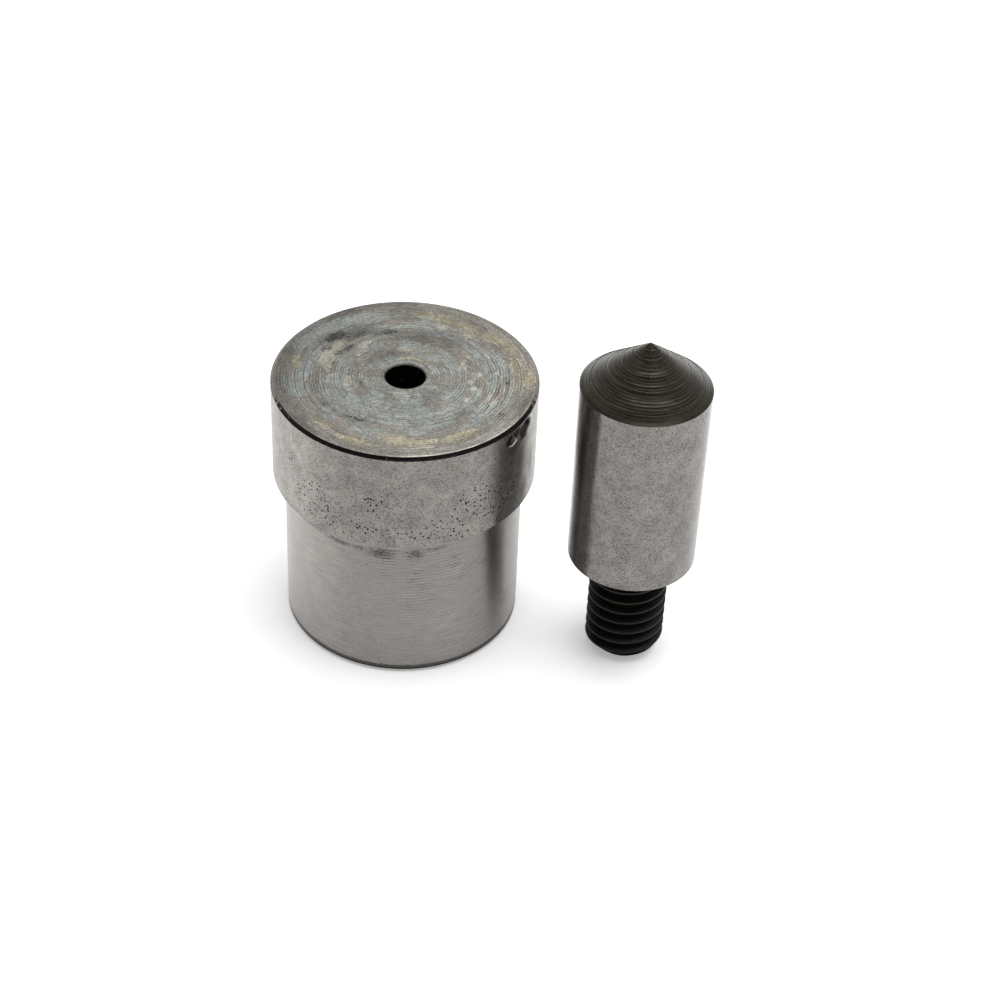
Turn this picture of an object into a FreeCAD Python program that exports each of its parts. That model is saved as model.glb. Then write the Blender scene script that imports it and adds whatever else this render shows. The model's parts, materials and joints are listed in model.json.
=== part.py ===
import FreeCAD, Part

import os

import Sketcher

# Hole punch tooling for a hand press: a stepped lower die and a pointed punch on a threaded stud.
# The origin is on the die's axis at its base, +Z is up, and the punch stands on its stud beside the die.

# Driving dimensions in millimetres, and angles in degrees
SIZES = {
    # Lower die
    "die_height": 21.4,  # from the base to the working face
    "shank_dia": 18.0,
    "step_width": 0.925,  # how far the flange stands out past the shank
    "flange_depth": 8.25,  # from the working face down to the flange's underside
    "rim_bevel": 0.25,  # round the working face
    "flange_edge_break": 0.12,  # round the flange's lower edge
    "base_bevel": 0.3,
    "step_fillet": 0.4,  # in the corner under the flange
    "die_hole_dia": 3.0,
    "die_hole_land": 6.0,  # length of the hole at its working size
    "die_hole_edge_break": 0.08,
    "slug_hole_dia": 6.0,  # wider hole from below, which lets the waste fall out
    "slug_hole_bevel": 0.4,
    # Punch head
    "punch_dia": 9.65,
    "punch_body_length": 15.35,  # the ground cylinder, without the cone
    "cone_height": 3.85,
    "punch_foot_break": 0.1,
    # Threaded stud, an M6 set screw with a hexagon socket
    "stud_dia": 6.0,
    "stud_standout": 9.1,  # from the stud's end to the head
    "stud_grip": 6.9,  # length inside the head
    "stud_bevel": 1.0,  # both ends
    "thread_pitch": 1.0,
    "thread_depth": 0.613,  # from crest to root
    "thread_crest": 0.125,  # width of the flat crest
    "thread_angle": 60.0,  # between the two flanks
    "socket_flats": 3.0,  # across the flats of the hexagon
    "socket_depth": 3.5,
    # The stud's hole in the head
    "stud_hole_clearance": 0.02,  # round the crests of the thread
    "stud_hole_spare": 1.6,  # depth past the stud's end
    "stud_hole_bevel": 0.3,
    "drill_point_angle": 118.0,
    # Where the punch stands, from the die's axis
    "punch_right": 17.5,
    "punch_front": 4.0,
}
FULL_TURN = 360.0
HEX_SIDES = 6
EDGE_MATCH = 1e-4  # how closely an edge's radius and height match the ones looked for

# Sizes that several features share, worked out from the driving ones
FLANGE_DIA = "Sizes.shank_dia + 2 * Sizes.step_width"
FLANGE_UNDERSIDE = "Sizes.die_height - Sizes.flange_depth"
STUD_LENGTH = "Sizes.stud_standout + Sizes.stud_grip"
STUD_HOLE_DIA = "Sizes.stud_dia + 2 * Sizes.stud_hole_clearance"
FLANK_SLOPE = "tan(Sizes.thread_angle * 0.5 deg)"  # how far a flank rises for each unit outward
GROOVE_SPARE = "Sizes.thread_depth / 8"  # how far a groove's outline runs out past the crests
FREE_GROOVES = "floor(Sizes.stud_standout / Sizes.thread_pitch - 0.5)"  # all end below the head
FOOT = "0"

doc = FreeCAD.newDocument("HolePunchDie")
sheet = doc.addObject("Spreadsheet::Sheet", "Sizes")
for row, (alias, value) in enumerate(SIZES.items(), start=1):
    sheet.set(f"A{row}", alias.replace("_", " "))
    sheet.set(f"B{row}", str(value))
    sheet.setAlias(f"B{row}", alias)
doc.recompute()


def number(expression):
    """What an expression on the sheet's sizes comes to now."""
    return float(sheet.evalExpression(expression))


def start_of(line):
    """A line's first point, as a sketch's constraints name it."""
    return line, 1


def end_of(line):
    """A line's second point."""
    return line, 2


def centre_of(circle):
    """A circle's centre."""
    return circle, 3


def sketch_origin():
    """The point where a sketch's own axes meet."""
    return start_of(across_axis())


def across_axis():
    """A sketch's own horizontal axis."""
    return -1


def up_axis():
    """A sketch's own vertical axis."""
    return -2


def new_body(label):
    """An empty body that is named and labelled as its piece."""
    body = doc.addObject("PartDesign::Body", label)
    body.Label = label
    return body


def new_sketch(body, name, plane, lift=FOOT):
    """A sketch on one of the body's own origin planes, raised by lift."""
    support = next(p for p in body.Origin.OriginFeatures if p.Role == plane)
    sketch = body.newObject("Sketcher::SketchObject", name)
    sketch.AttachmentSupport = [(support, "")]
    sketch.MapMode = "FlatFace"
    sketch.setExpression("AttachmentOffset.Base.z", lift)
    return sketch


def hold(sketch, kind, *places):
    """Adds a constraint that has no size, such as Coincident or Equal."""
    sketch.addConstraint(Sketcher.Constraint(kind, *places))


def dimension(sketch, name, kind, places, expression):
    """Adds a dimension to a sketch under its own name and ties it to the sheet."""
    index = sketch.addConstraint(Sketcher.Constraint(kind, *places, number(expression)))
    sketch.renameConstraint(index, name)
    sketch.setExpression(f"Constraints.{name}", expression)


def half_section(body, name, corners):
    """A closed outline beside the body's Z axis.

    corners lists each corner's name, radius and height. The last two are expressions on the sheet,
    and a corner at radius 0 or height 0 is held on the sketch's own axis.
    """
    sketch = new_sketch(body, f"{name}_outline", "XZ_Plane")
    places = [FreeCAD.Vector(number(radius), number(height), 0) for _, radius, height in corners]
    followers = [*range(1, len(corners)), 0]
    for place, follower in zip(places, followers):
        sketch.addGeometry(Part.LineSegment(place, places[follower]), False)
    for line, (corner, radius, height) in enumerate(corners):
        hold(sketch, "Coincident", *end_of(line), *start_of(followers[line]))
        from_origin = (*sketch_origin(), *start_of(line))
        if radius == FOOT:
            hold(sketch, "PointOnObject", *start_of(line), up_axis())
        else:
            dimension(sketch, f"{corner}_radius", "DistanceX", from_origin, radius)
        if height == FOOT:
            hold(sketch, "PointOnObject", *start_of(line), across_axis())
        else:
            dimension(sketch, f"{corner}_height", "DistanceY", from_origin, height)
    return sketch


def turned(body, kind, name, corners):
    """Turns a half section about the body's Z axis: kind is Revolution to add, or Groove to cut."""
    sketch = half_section(body, name, corners)
    feature = body.newObject(f"PartDesign::{kind}", name)
    feature.Profile = sketch
    feature.ReferenceAxis = (sketch, ["V_Axis"])
    feature.Angle = FULL_TURN
    doc.recompute()
    return feature


def repeated_upward(body, feature, name, spacing, count):
    """Copies a feature up the body's Z axis."""
    axis = next(a for a in body.Origin.OriginFeatures if a.Role == "Z_Axis")
    copies = body.newObject("PartDesign::LinearPattern", name)
    copies.Originals = [feature]
    copies.Direction = (axis, [""])
    copies.Mode = "Spacing"
    copies.setExpression("Offset", spacing)
    copies.setExpression("Occurrences", count)
    body.Tip = copies
    doc.recompute()


def round_edges(feature, diameter, height):
    """Names of the round edges of a feature that have this diameter and lie at this height."""
    found = []
    for count, edge in enumerate(feature.Shape.Edges, start=1):
        if not isinstance(edge.Curve, Part.Circle):
            continue
        radius_off = abs(edge.Curve.Radius - number(diameter) / 2)
        height_off = abs(edge.Curve.Center.z - number(height))
        if max(radius_off, height_off) < EDGE_MATCH:
            found.append(f"Edge{count}")
    if not found:
        raise ValueError(f"{feature.Name} has no round edge of {diameter} at {height}")
    return found


def bevel(body, name, diameter, height, width):
    """An even 45 degree bevel on the body's round edge of this diameter and height."""
    base = body.Tip
    cut = body.newObject("PartDesign::Chamfer", name)
    cut.Base = (base, round_edges(base, diameter, height))
    cut.setExpression("Size", width)
    doc.recompute()


def drilled_hole(body, name, diameter, depth, start=FOOT, upward=False, pointed=False):
    """A round hole on the body's axis, from the height start downward or upward."""
    centre = new_sketch(body, f"{name}_centre", "XY_Plane", start)
    outline = Part.Circle(FreeCAD.Vector(), FreeCAD.Vector(0, 0, 1), number(diameter) / 2)
    circle = centre.addGeometry(outline, False)
    hold(centre, "Coincident", *centre_of(circle), *sketch_origin())
    dimension(centre, "hole_diameter", "Diameter", (circle,), diameter)
    doc.recompute()
    hole = body.newObject("PartDesign::Hole", name)
    hole.Profile = centre
    hole.DepthType = "Dimension"
    hole.Reversed = upward
    hole.setExpression("Diameter", diameter)
    hole.setExpression("Depth", depth)
    hole.DrillPoint = "Angled" if pointed else "Flat"
    if pointed:
        hole.setExpression("DrillPointAngle", "Sizes.drill_point_angle")
    doc.recompute()


def make_lower_die():
    """Flange and shank turned in one, with a working hole that opens into a wider hole below."""
    body = new_body("lower_die")
    flange_radius = f"({FLANGE_DIA}) / 2"
    shank_radius = "Sizes.shank_dia / 2"
    corners = [
        ("base_centre", "0", FOOT),
        ("base_edge", shank_radius, FOOT),
        ("step_corner", shank_radius, FLANGE_UNDERSIDE),
        ("flange_edge", flange_radius, FLANGE_UNDERSIDE),
        ("rim", flange_radius, "Sizes.die_height"),
        ("face_centre", "0", "Sizes.die_height"),
    ]
    turned(body, "Revolution", "die_blank", corners)
    whole_height = "Sizes.die_height"
    drilled_hole(body, "die_hole", "Sizes.die_hole_dia", whole_height, start=whole_height)
    slug_depth = "Sizes.die_height - Sizes.die_hole_land"
    drilled_hole(body, "slug_hole", "Sizes.slug_hole_dia", slug_depth, upward=True)
    bevel(body, "rim_bevel", FLANGE_DIA, "Sizes.die_height", "Sizes.rim_bevel")
    bevel(body, "flange_edge_break", FLANGE_DIA, FLANGE_UNDERSIDE, "Sizes.flange_edge_break")
    bevel(body, "base_bevel", "Sizes.shank_dia", FOOT, "Sizes.base_bevel")
    bevel(body, "hole_edge_break", "Sizes.die_hole_dia", "Sizes.die_height", "Sizes.die_hole_edge_break")
    bevel(body, "slug_hole_bevel", "Sizes.slug_hole_dia", FOOT, "Sizes.slug_hole_bevel")
    base = body.Tip
    corner = body.newObject("PartDesign::Fillet", "step_fillet")
    corner.Base = (base, round_edges(base, "Sizes.shank_dia", FLANGE_UNDERSIDE))
    corner.setExpression("Radius", "Sizes.step_fillet")
    doc.recompute()
    return body


def stand_on_punch_axis(body, height):
    """Puts a piece of the punch on the punch's axis, its foot at this height."""
    body.setExpression("Placement.Base.x", "Sizes.punch_right")
    body.setExpression("Placement.Base.y", "-Sizes.punch_front")
    body.setExpression("Placement.Base.z", height)
    doc.recompute()


def make_punch_head():
    """Ground cylinder with a turned cone, and a blind hole from below that takes the stud."""
    body = new_body("punch_head")
    radius = "Sizes.punch_dia / 2"
    corners = [
        ("foot_centre", "0", FOOT),
        ("foot_edge", radius, FOOT),
        ("shoulder", radius, "Sizes.punch_body_length"),
        ("tip", "0", "Sizes.punch_body_length + Sizes.cone_height"),
    ]
    turned(body, "Revolution", "head_blank", corners)
    hole_depth = "Sizes.stud_grip + Sizes.stud_hole_spare"
    drilled_hole(body, "stud_hole", STUD_HOLE_DIA, hole_depth, upward=True, pointed=True)
    bevel(body, "foot_break", "Sizes.punch_dia", FOOT, "Sizes.punch_foot_break")
    bevel(body, "stud_hole_bevel", STUD_HOLE_DIA, FOOT, "Sizes.stud_hole_bevel")
    stand_on_punch_axis(body, "Sizes.stud_standout")
    return body


def draw_hexagon(sketch, across_flats):
    """A regular hexagon about the sketch's origin, its first corner on the horizontal axis."""
    corner_radius = f"{across_flats} / sqrt(3)"
    reach = number(corner_radius)
    guide = sketch.addGeometry(Part.Circle(FreeCAD.Vector(), FreeCAD.Vector(0, 0, 1), reach), True)
    hold(sketch, "Coincident", *centre_of(guide), *sketch_origin())
    turn = FreeCAD.Rotation(FreeCAD.Vector(0, 0, 1), FULL_TURN / HEX_SIDES)
    place = FreeCAD.Vector(reach, 0, 0)
    sides = []
    for _ in range(HEX_SIDES):
        following = turn.multVec(place)
        sides.append(sketch.addGeometry(Part.LineSegment(place, following), False))
        place = following
    for side, follower in zip(sides, sides[1:] + sides[:1]):
        hold(sketch, "Coincident", *end_of(side), *start_of(follower))
        hold(sketch, "PointOnObject", *start_of(side), guide)
    for side in sides[1:]:
        hold(sketch, "Equal", sides[0], side)
    hold(sketch, "PointOnObject", *start_of(sides[0]), across_axis())
    dimension(sketch, "corner_radius", "Radius", (guide,), corner_radius)


def cut_thread_grooves(body):
    """Ring grooves with the thread's section and spacing, on the length that stands out of the head."""
    root = "Sizes.stud_dia / 2 - Sizes.thread_depth"
    mouth = f"Sizes.stud_dia / 2 + {GROOVE_SPARE}"
    half_mouth = f"((Sizes.thread_pitch - Sizes.thread_crest) / 2 + {GROOVE_SPARE} * {FLANK_SLOPE})"
    half_root = f"((Sizes.thread_pitch - Sizes.thread_crest) / 2 - Sizes.thread_depth * {FLANK_SLOPE})"
    corners = [
        ("lower_root", root, f"Sizes.thread_pitch - {half_root}"),
        ("lower_mouth", mouth, f"Sizes.thread_pitch - {half_mouth}"),
        ("upper_mouth", mouth, f"Sizes.thread_pitch + {half_mouth}"),
        ("upper_root", root, f"Sizes.thread_pitch + {half_root}"),
    ]
    groove = turned(body, "Groove", "thread_groove", corners)
    repeated_upward(body, groove, "thread_grooves", "Sizes.thread_pitch", FREE_GROOVES)


def make_threaded_stud():
    """Set screw, bevelled at both ends, with its thread as rings and a socket in its lower end.

    The length inside the head is plain, at the thread's outer diameter.
    """
    body = new_body("threaded_stud")
    radius = "Sizes.stud_dia / 2"
    corners = [
        ("foot_centre", "0", FOOT),
        ("foot_edge", radius, FOOT),
        ("top_edge", radius, STUD_LENGTH),
        ("top_centre", "0", STUD_LENGTH),
    ]
    turned(body, "Revolution", "stud_blank", corners)
    bevel(body, "foot_bevel", "Sizes.stud_dia", FOOT, "Sizes.stud_bevel")
    bevel(body, "top_bevel", "Sizes.stud_dia", STUD_LENGTH, "Sizes.stud_bevel")
    cut_thread_grooves(body)
    outline = new_sketch(body, "socket_outline", "XY_Plane")
    draw_hexagon(outline, "Sizes.socket_flats")
    doc.recompute()
    socket = body.newObject("PartDesign::Pocket", "socket")
    socket.Profile = outline
    socket.Reversed = True
    socket.setExpression("Length", "Sizes.socket_depth")
    doc.recompute()
    stand_on_punch_axis(body, FOOT)
    return body


def check(pieces):
    """Stops if any object failed, or a piece isn't one closed valid solid."""
    for item in doc.Objects:
        if {"Invalid", "Error"} & set(item.State):
            raise RuntimeError(f"{item.Name} is {item.State}")
    for piece in pieces:
        shape = piece.Shape
        if shape.isNull() or not shape.isValid() or len(shape.Solids) != 1:
            raise RuntimeError(f"{piece.Label} isn't one valid solid")


pieces = [make_lower_die(), make_punch_head(), make_threaded_stud()]
doc.recompute()
check(pieces)
os.makedirs("parts", exist_ok=True)
for piece in pieces:
    piece.Shape.exportStep(f"parts/{piece.Label}.step")
    box = piece.Shape.BoundBox
    print(f"{piece.Label}: {piece.Shape.Volume:.2f} mm3, z {box.ZMin:.2f} to {box.ZMax:.2f}")
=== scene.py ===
"""Looks of a hand press's punch tooling: a stepped lower die and a pointed punch on its threaded stud."""
import json
import math

import bpy
import numpy as np
from bpy.props import FloatProperty, FloatVectorProperty, IntProperty, PointerProperty
from mathutils import Matrix, Vector


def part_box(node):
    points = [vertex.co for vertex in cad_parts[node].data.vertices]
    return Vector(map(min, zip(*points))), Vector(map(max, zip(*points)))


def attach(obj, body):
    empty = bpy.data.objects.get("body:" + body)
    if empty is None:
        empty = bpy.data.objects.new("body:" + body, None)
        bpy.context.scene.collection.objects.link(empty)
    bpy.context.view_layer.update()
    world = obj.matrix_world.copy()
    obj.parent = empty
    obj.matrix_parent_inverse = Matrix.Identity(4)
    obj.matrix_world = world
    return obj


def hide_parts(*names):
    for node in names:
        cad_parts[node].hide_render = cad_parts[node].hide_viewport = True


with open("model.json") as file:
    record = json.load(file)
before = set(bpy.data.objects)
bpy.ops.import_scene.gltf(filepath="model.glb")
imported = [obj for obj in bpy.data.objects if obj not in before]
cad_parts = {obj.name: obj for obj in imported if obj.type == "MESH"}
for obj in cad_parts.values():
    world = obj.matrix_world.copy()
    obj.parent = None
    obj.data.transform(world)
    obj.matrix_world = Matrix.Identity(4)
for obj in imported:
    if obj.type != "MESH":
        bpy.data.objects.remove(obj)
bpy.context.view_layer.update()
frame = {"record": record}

bl_info = {
    "name": "Hole punch tooling",
    "version": (1, 0, 0),
    "blender": (4, 5, 0),
    "location": "View3D > Sidebar > Tooling",
    "description": "A stepped lower die and a pointed punch head on a threaded stud, with their studio",
    "category": "Object",
}

MM = 0.001
TO_MM = 1000.0
TURN = 2 * math.pi


# Sizes that come from the packed model

def mount(name):
    """Place of a mount of the record in millimetres, and its own sizes."""
    found = next(m for m in frame["record"]["mounts"] if m["name"] == name)
    place = [c * TO_MM for c in found["pos_m"]]
    return place, found.get("dims", {})


def node_box(name):
    """Lowest and highest corner of a node, in millimetres."""
    low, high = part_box(name)
    return np.array(low) * TO_MM, np.array(high) * TO_MM


DIE_HIGH = node_box("lower_die")[1]
HEAD_LOW, HEAD_HIGH = node_box("punch_head")
STUD_HIGH = node_box("threaded_stud")[1]
FLANGE_RADIUS = float(DIE_HIGH[0])
DIE_HEIGHT = float(DIE_HIGH[2])
SHANK_RADIUS = mount("die_shank")[1]["r_mm"]
FLANGE_FOOT = mount("flange_seat")[0][2]
HOLE_RADIUS = mount("die_hole")[1]["r_mm"]
HOLE_LAND = mount("die_hole")[1]["length_mm"]
SLUG_RADIUS = mount("slug_hole")[1]["r_mm"]
PUNCH_AXIS = (mount("punch_thread")[0][0], mount("punch_thread")[0][1])
HEAD_RADIUS = float(HEAD_HIGH[0] - HEAD_LOW[0]) / 2
HEAD_FOOT = float(HEAD_LOW[2])
HEAD_TIP = float(HEAD_HIGH[2])
STUD_RADIUS = mount("punch_thread")[1]["r_mm"]
STUD_TOP = float(STUD_HIGH[2])


# Properties that a user would change

class DieSizes(bpy.types.PropertyGroup):
    """Finish of the lower die."""
    rim_bevel: FloatProperty(
        name="Rim bevel", description="Width of the black bevel round the working face",
        default=0.00023, unit="LENGTH", precision=5)
    groove_spacing: FloatProperty(
        name="Groove spacing", description="Distance between the facing tool's marks",
        default=0.00022, unit="LENGTH", precision=5)
    groove_depth: FloatProperty(
        name="Groove depth", description="Depth of the facing tool's deepest marks",
        default=0.000008, unit="LENGTH", precision=6)
    chip_depth: FloatProperty(
        name="Chip depth", description="Depth of the deepest chip under the rim",
        default=0.0003, unit="LENGTH", precision=5)
    face_grey: FloatVectorProperty(
        name="Face grey", description="Worn warm grey of the working face",
        default=(0.29, 0.273, 0.24), subtype="COLOR", min=0, max=1)
    face_blue: FloatVectorProperty(
        name="Face blue", description="Blue-grey oxide on the working face",
        default=(0.322, 0.337, 0.314), subtype="COLOR", min=0, max=1)


class PunchSizes(bpy.types.PropertyGroup):
    """Finish of the punch head and its thread."""
    cone_height: FloatProperty(
        name="Cone height", description="Height of the turned point",
        default=0.00385, unit="LENGTH", precision=5)
    terraces: IntProperty(
        name="Terraces", description="Steps that the turning tool left on the point",
        default=24, min=3, max=60)
    terrace_depth: FloatProperty(
        name="Terrace depth", description="Height of one step across the slope",
        default=0.00006, unit="LENGTH", precision=6)
    thread_pitch: FloatProperty(
        name="Thread pitch", description="Rise of the stud's thread in one turn",
        default=0.001, unit="LENGTH", precision=5)
    stud_bevel: FloatProperty(
        name="Stud bevel", description="Bevel at the ends of the stud",
        default=0.001, unit="LENGTH", precision=5)


class StageSizes(bpy.types.PropertyGroup):
    """Camera, floor and lamps."""
    camera_place: FloatVectorProperty(
        name="Camera place", description="Where the camera stands",
        default=(0.00741, -0.13734, 0.12165), subtype="TRANSLATION", unit="LENGTH", precision=5)
    camera_tilt: FloatProperty(
        name="Camera tilt", description="Angle of the view below the horizon",
        default=0.6822, subtype="ANGLE")
    camera_roll: FloatProperty(
        name="Camera roll", description="Turn of the picture about its middle",
        default=-0.0485, subtype="ANGLE")
    lens: FloatProperty(
        name="Lens", description="Focal length on a 36 mm sensor", default=82.96, unit="CAMERA")
    low_tent: FloatProperty(
        name="Low tent", description="Strength of the pale tent at the horizon", default=1.0, min=0)
    high_tent: FloatProperty(
        name="High tent", description="Strength of the pale tent overhead", default=0.6, min=0)
    opening: FloatProperty(
        name="Opening", description="Strength of the tent's open front", default=0.1, min=0)
    top_box: FloatProperty(
        name="Top box", description="Power of the soft box over the set, in watts", default=1.2, min=0)
    floor_lift: FloatProperty(
        name="Floor lift", description="How much whiter than lit the camera sees the floor",
        default=0.3, min=0)
    back_glow: FloatProperty(
        name="Back glow", description="How much whiter still the steel mirrors the floor behind it",
        default=0.6, min=0)


# Small tools for shapes

# Edges between faces that meet at more than this angle stay sharp.
SHARP_DEGREES = 24


def run_of(start, end, step):
    """Points from start towards end, evenly spaced by about step, without the last one."""
    start, end = np.array(start, float), np.array(end, float)
    count = max(1, int(math.ceil(np.linalg.norm(end - start) / step)))
    share = np.arange(count)[:, None] / count
    return start + (end - start) * share


def arc_of(centre, radius, first, last, count):
    """Points of an arc in the half section from angle first towards last, without the last one."""
    angle = np.radians(first + (last - first) * np.arange(count) / count)
    return np.stack([centre[0] + radius * np.cos(angle), centre[1] + radius * np.sin(angle)], axis=1)


def join_runs(runs):
    """One outline from runs of (finish, points): the points, and the finish of the band after each."""
    points = np.concatenate([p for _, p in runs])
    finish = np.concatenate([np.full(len(p), number) for number, p in runs])
    return points, finish


def spun(outline, angles):
    """A half section turned about Z: each point (r, z) goes round as (r cos a, r sin a, z)."""
    r, z = outline[:, :1], outline[:, 1:]
    return np.stack([r * np.cos(angles), r * np.sin(angles), z + 0 * angles], axis=2)


def wave(angles, seed, slowest, fastest):
    """An uneven line round the axis: sines of whole numbers of waves with seeded phases, within -1 to 1."""
    phases = np.random.default_rng(seed).uniform(0, TURN, fastest - slowest)
    waves = np.arange(slowest, fastest)
    total = np.sin(np.multiply.outer(angles, waves) + phases).sum(axis=-1)
    return total / math.sqrt(len(waves)) / 1.6


def turn_between(angles, middle):
    """Signed angle from middle to each angle, within half a turn."""
    return (angles - middle + math.pi) % TURN - math.pi


def smooth(value):
    """Nought below nought, one above one, and an even curve between: 3x squared less 2x cubed."""
    value = np.clip(value, 0, 1)
    return value * value * (3 - 2 * value)


def ring_surface(name, rings, finish, materials, first_pole=None, last_pole=None, fields=None):
    """A closed surface from rings of points (ring, step round, xyz) in millimetres.
    Ring and next ring are joined by quads. With poles the ends close in fans, otherwise the last ring
    joins the first. finish gives the material of the band after each ring, fields are values per point."""
    count, steps = rings.shape[:2]
    here = np.arange(steps)
    beside = (here + 1) % steps
    closed = first_pole is None
    first = np.arange(count if closed else count - 1)[:, None]
    above = (first + 1) % count
    quads = np.stack([first * steps + here, first * steps + beside,
                      above * steps + beside, above * steps + here], axis=2).reshape(-1, 4)
    face_finish = np.repeat(finish[:len(first)], steps)
    points = rings.reshape(-1, 3)
    corners = [quads.ravel()]
    sizes = [np.full(len(quads), 4)]
    finishes = [face_finish]
    if not closed:
        start_pole, end_pole = len(points), len(points) + 1
        points = np.concatenate([points, [first_pole, last_pole]])
        last_ring = (count - 1) * steps
        corners.append(np.stack([np.full(steps, start_pole), beside, here], axis=1).ravel())
        corners.append(np.stack([np.full(steps, end_pole), last_ring + here, last_ring + beside],
                                axis=1).ravel())
        sizes.append(np.full(2 * steps, 3))
        finishes.append(np.repeat([finish[0], finish[-1]], steps))
    corners, sizes = np.concatenate(corners), np.concatenate(sizes)
    mesh = bpy.data.meshes.new(name)
    mesh.vertices.add(len(points))
    mesh.vertices.foreach_set("co", (points * MM).ravel())
    mesh.loops.add(len(corners))
    mesh.loops.foreach_set("vertex_index", corners)
    mesh.polygons.add(len(sizes))
    mesh.polygons.foreach_set("loop_start", np.concatenate([[0], np.cumsum(sizes)[:-1]]))
    mesh.polygons.foreach_set("material_index", np.concatenate(finishes).astype(np.int32))
    mesh.update(calc_edges=True)
    mesh.validate()
    mesh.shade_smooth()
    mesh.set_sharp_from_angle(angle=math.radians(SHARP_DEGREES))
    for material in materials:
        mesh.materials.append(material)
    for field, values in (fields or {}).items():
        spread = np.zeros(len(points))
        spread[:count * steps] = np.broadcast_to(values, (count, steps)).ravel()
        mesh.attributes.new(field, "FLOAT", "POINT").data.foreach_set("value", spread)
    piece = bpy.data.objects.new(name, mesh)
    bpy.context.scene.collection.objects.link(piece)
    return piece


def patch_field(angles, across_line, patches, wall_radius=None, least=-1.5):
    """Height of the nearest patch: one at its middle, nought at its edge and less outside it. A patch is
    (angle, place, half length round, half width): it lies at a distance from the axis or, on a wall of
    that radius, at a height."""
    field = np.full(np.broadcast(angles, across_line).shape, least)
    for middle, place, half_round, half_width in patches:
        along = turn_between(angles, math.radians(middle)) * (wall_radius or place) / half_round
        across = (across_line - place) / half_width
        field = np.maximum(field, 1 - np.hypot(along, across))
    return field


# Small tools for materials

def hex_colour(text):
    """Linear colour from an sRGB hex value."""
    parts = [int(text[i:i + 2], 16) / 255 for i in (0, 2, 4)]
    return tuple(p / 12.92 if p <= 0.04045 else ((p + 0.055) / 1.055) ** 2.4 for p in parts) + (1.0,)


def grey(value):
    """A neutral colour of that linear value."""
    return (value, value, value, 1.0)


def add_node(tree, kind, inputs=(), out=0, stops=(), **settings):
    """Adds the node whose type is ShaderNode and kind, and gives its output out. settings are its own
    values, inputs are values or the outputs that feed them, in socket order or by socket, and stops are
    a ramp's pairs of place and colour."""
    node = tree.nodes.new("ShaderNode" + kind)
    for name, value in settings.items():
        setattr(node, name, value)
    for socket, value in inputs.items() if isinstance(inputs, dict) else enumerate(inputs):
        if isinstance(value, bpy.types.NodeSocket):
            tree.links.new(value, node.inputs[socket])
        else:
            node.inputs[socket].default_value = value
    for place, colour in stops[2:]:
        node.color_ramp.elements.new(1.0)
    for element, (place, colour) in zip(node.color_ramp.elements if stops else (), stops):
        element.position = place
        element.color = colour
    return node.outputs[out] if node.outputs else node


def new_material(name):
    """An empty node material and its tree."""
    material = bpy.data.materials.new(name)
    material.use_nodes = True
    material.node_tree.nodes.clear()
    return material, material.node_tree


def around_axis(tree, axis, lines_per_mm, arcs, along_height):
    """Coordinates of a turned piece: its point in millimetres from the axis, and a pattern vector that
    changes fast across the tool's lines and slowly round them, without a seam."""
    where = add_node(tree, "TexCoord", out="Object")
    point = add_node(tree, "Mapping", {
        "Vector": where, "Location": (-axis[0], -axis[1], 0), "Scale": (TO_MM,) * 3})
    flat = add_node(tree, "VectorMath", (point, (1, 1, 0)), operation="MULTIPLY")
    radius = add_node(tree, "VectorMath", (flat,), operation="LENGTH", out="Value")
    across = add_node(tree, "SeparateXYZ", (point,), out="Z") if along_height else radius
    lines = add_node(tree, "Math", (across, lines_per_mm), operation="MULTIPLY")
    heading = add_node(tree, "VectorMath", (flat,), operation="NORMALIZE")
    slow = add_node(tree, "VectorMath", {0: heading, "Scale": arcs}, operation="SCALE")
    up = add_node(tree, "CombineXYZ", {"Z": lines})
    pattern = add_node(tree, "VectorMath", (slow, up), operation="ADD")
    return point, pattern


# A colour mix's sockets, which are its factor, first colour and second colour, and its settings
FACTOR, FIRST, SECOND = 0, 6, 7
MIX = {"out": 2, "data_type": "RGBA"}


# Materials

PITS_PER_MM = 5.0
# Radius of the largest pits, as a share of the distance between pits
PIT_RADIUS = 0.52
# Rise of the turning tool in one turn, in millimetres
FEED = 0.276
# Scale at which a wave texture's waves are one unit apart
WAVE_SCALE = TURN / 20


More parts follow.
